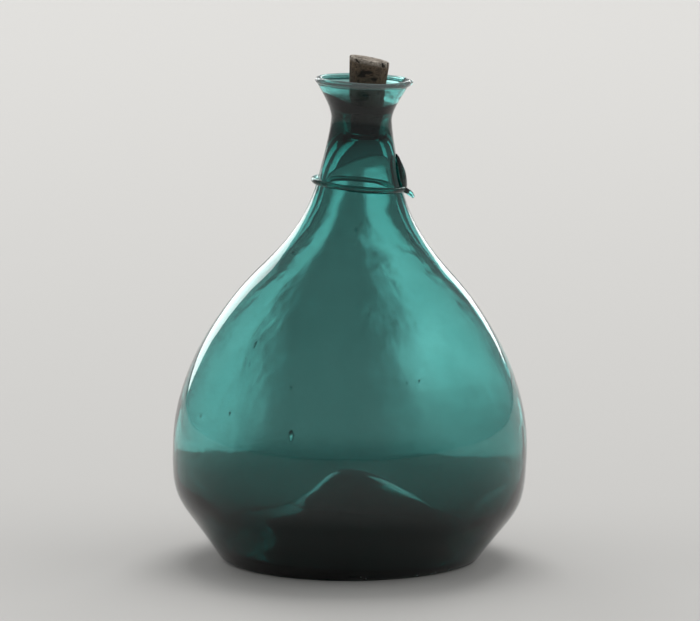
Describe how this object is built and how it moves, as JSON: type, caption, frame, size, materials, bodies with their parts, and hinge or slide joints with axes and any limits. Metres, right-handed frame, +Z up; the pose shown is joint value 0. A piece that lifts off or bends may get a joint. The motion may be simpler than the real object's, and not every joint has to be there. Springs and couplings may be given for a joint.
{
  "type": "glass bottle",
  "caption": "Free-blown teardrop bottle of teal glass with a kicked-up base, a glass thread round its neck, a wrapped flared lip and a cork that pulls out.",
  "frame": {"origin": "on the shelf, under the middle of the belly, which is the middle of the bottle's box", "axes": "+Z up, -Y towards the front view, +X towards the side that the bottle leans to and the thread's tail is on"},
  "size_m": [0.1972, 0.1972, 0.2808],
  "materials": {
    "teal_glass": "glossy blown glass with faint ripples and seeds",
    "lip_glass": "fire-polished, glossy",
    "thread_glass": "fire-polished, glossy",
    "scar_glass": "broken and rough",
    "aged_cork": "dry, stained and crumbling cork"
  },
  "bodies": {
    "bottle": {"body": "teal_glass", "lip_wrap": "lip_glass", "neck_thread": "thread_glass", "pontil_scar": "scar_glass"},
    "stopper": {"cork": "aged_cork"}
  },
  "joints": [
    {"name": "cork_pull", "type": "slide", "parent": "bottle", "child": "stopper", "axis": [0.0785, 0, 0.9969], "range_m": [0, 0.06]}
  ]
}
